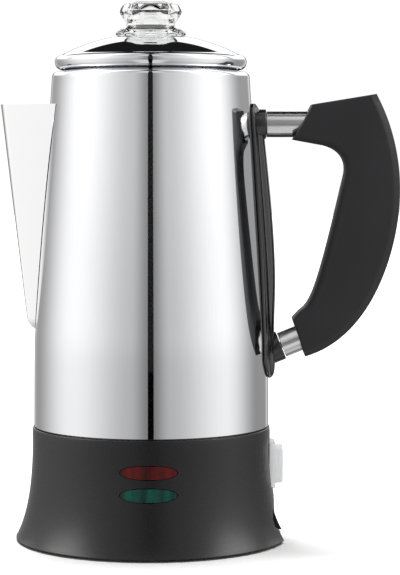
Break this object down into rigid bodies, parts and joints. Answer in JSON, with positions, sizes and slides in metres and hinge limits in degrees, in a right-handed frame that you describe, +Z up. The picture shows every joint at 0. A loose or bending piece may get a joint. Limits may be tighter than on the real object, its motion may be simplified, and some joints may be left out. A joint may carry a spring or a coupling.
{
  "type": "electric coffee percolator",
  "caption": "Polished steel coffee percolator on a black heating base, with V spout, C grip on steel sleeves, lift-off lid with glass knob, basket and pump.",
  "frame": {"origin": "on the floor under the middle of the object's outline; the pot's axis is at X = -0.0274 m", "axes": "+Z up, +X towards the handle and the switch, -X towards the spout, -Y towards the indicator lamps"},
  "size_m": [0.2223, 0.1526, 0.3006],
  "materials": {
    "polished_steel": "mirror-polished stainless steel",
    "plain_steel": "mill finish",
    "aluminium": "satin",
    "brass": "turned",
    "black_plastic": "fine satin moulding",
    "phenolic": "moulded",
    "rubber": "matt",
    "silicone": "translucent, soft gloss",
    "rocker_plastic": "moulded",
    "red_lens": "translucent, ribbed",
    "green_lens": "translucent, ribbed",
    "lamp_glass": "clear",
    "clear_glass": "clear, moulded",
    "lead_sleeving": "braided glass-fibre sleeving"
  },
  "bodies": {
    "pot": {"pot_body": "polished_steel", "spout": "polished_steel", "heating_well": "plain_steel", "well_nut": "brass", "heat_plate": "aluminium", "heating_element": "plain_steel", "brew_thermostat": "aluminium", "thermal_fuse": "brass", "clamp_strap": "plain_steel", "strap_nut": "brass", "base_housing": "black_plastic", "bottom_cover": "black_plastic", "foot_1": "rubber", "foot_2": "rubber", "foot_3": "rubber", "foot_4": "rubber", "cover_screw_1": "plain_steel", "cover_screw_2": "plain_steel", "cover_screw_3": "plain_steel", "red_lens": "red_lens", "green_lens": "green_lens", "lamp_holder": "phenolic", "red_lamp": "lamp_glass", "green_lamp": "lamp_glass", "switch_housing": "phenolic", "switch_boot": "silicone", "inlet_block": "phenolic", "inlet_pin_left": "plain_steel", "inlet_pin_right": "plain_steel", "lead_inlet_to_switch": "lead_sleeving", "lead_inlet_to_fuse": "lead_sleeving", "lead_switch_to_thermostat": "lead_sleeving", "handle_bracket": "black_plastic", "bracket_clip": "plain_steel", "upper_sleeve": "polished_steel", "lower_sleeve": "polished_steel", "upper_handle_screw": "plain_steel", "lower_handle_screw": "plain_steel", "upper_grip_insert": "brass", "lower_grip_insert": "brass", "handle_grip": "black_plastic"},
    "rocker": {"switch_rocker": "rocker_plastic"},
    "pump": {"pump_stem": "aluminium", "pump_foot": "aluminium"},
    "washer": {"valve_washer": "aluminium"},
    "coffee_basket": {"basket": "aluminium"},
    "water_spreader": {"spreader": "aluminium"},
    "pot_lid": {"lid": "polished_steel"},
    "knob": {"lid_knob": "clear_glass"}
  },
  "joints": [
    {"name": "rocker_tilt", "type": "hinge", "parent": "pot", "child": "rocker", "pos_m": [0.039, 0, 0.0422], "axis": [0, -1, 0], "range_deg": [0, 22]},
    {"name": "pump_lift", "type": "slide", "parent": "pot", "child": "pump", "axis": [0, 0, 1], "range_m": [0, 0.225]},
    {"name": "washer_hop", "type": "slide", "parent": "pump", "child": "washer", "axis": [0, 0, 1], "range_m": [0, 0.003]},
    {"name": "basket_lift", "type": "slide", "parent": "pump", "child": "coffee_basket", "axis": [0, 0, 1], "range_m": [0, 0.09]},
    {"name": "spreader_lift", "type": "slide", "parent": "coffee_basket", "child": "water_spreader", "axis": [0, 0, 1], "range_m": [0, 0.04]},
    {"name": "lid_lift", "type": "slide", "parent": "water_spreader", "child": "pot_lid", "axis": [0, 0, 1], "range_m": [0, 0.1]},
    {"name": "knob_turn", "type": "hinge", "parent": "pot_lid", "child": "knob", "pos_m": [-0.0274, 0, 0.2815], "axis": [0, 0, 1], "range_deg": [0, 60]}
  ]
}
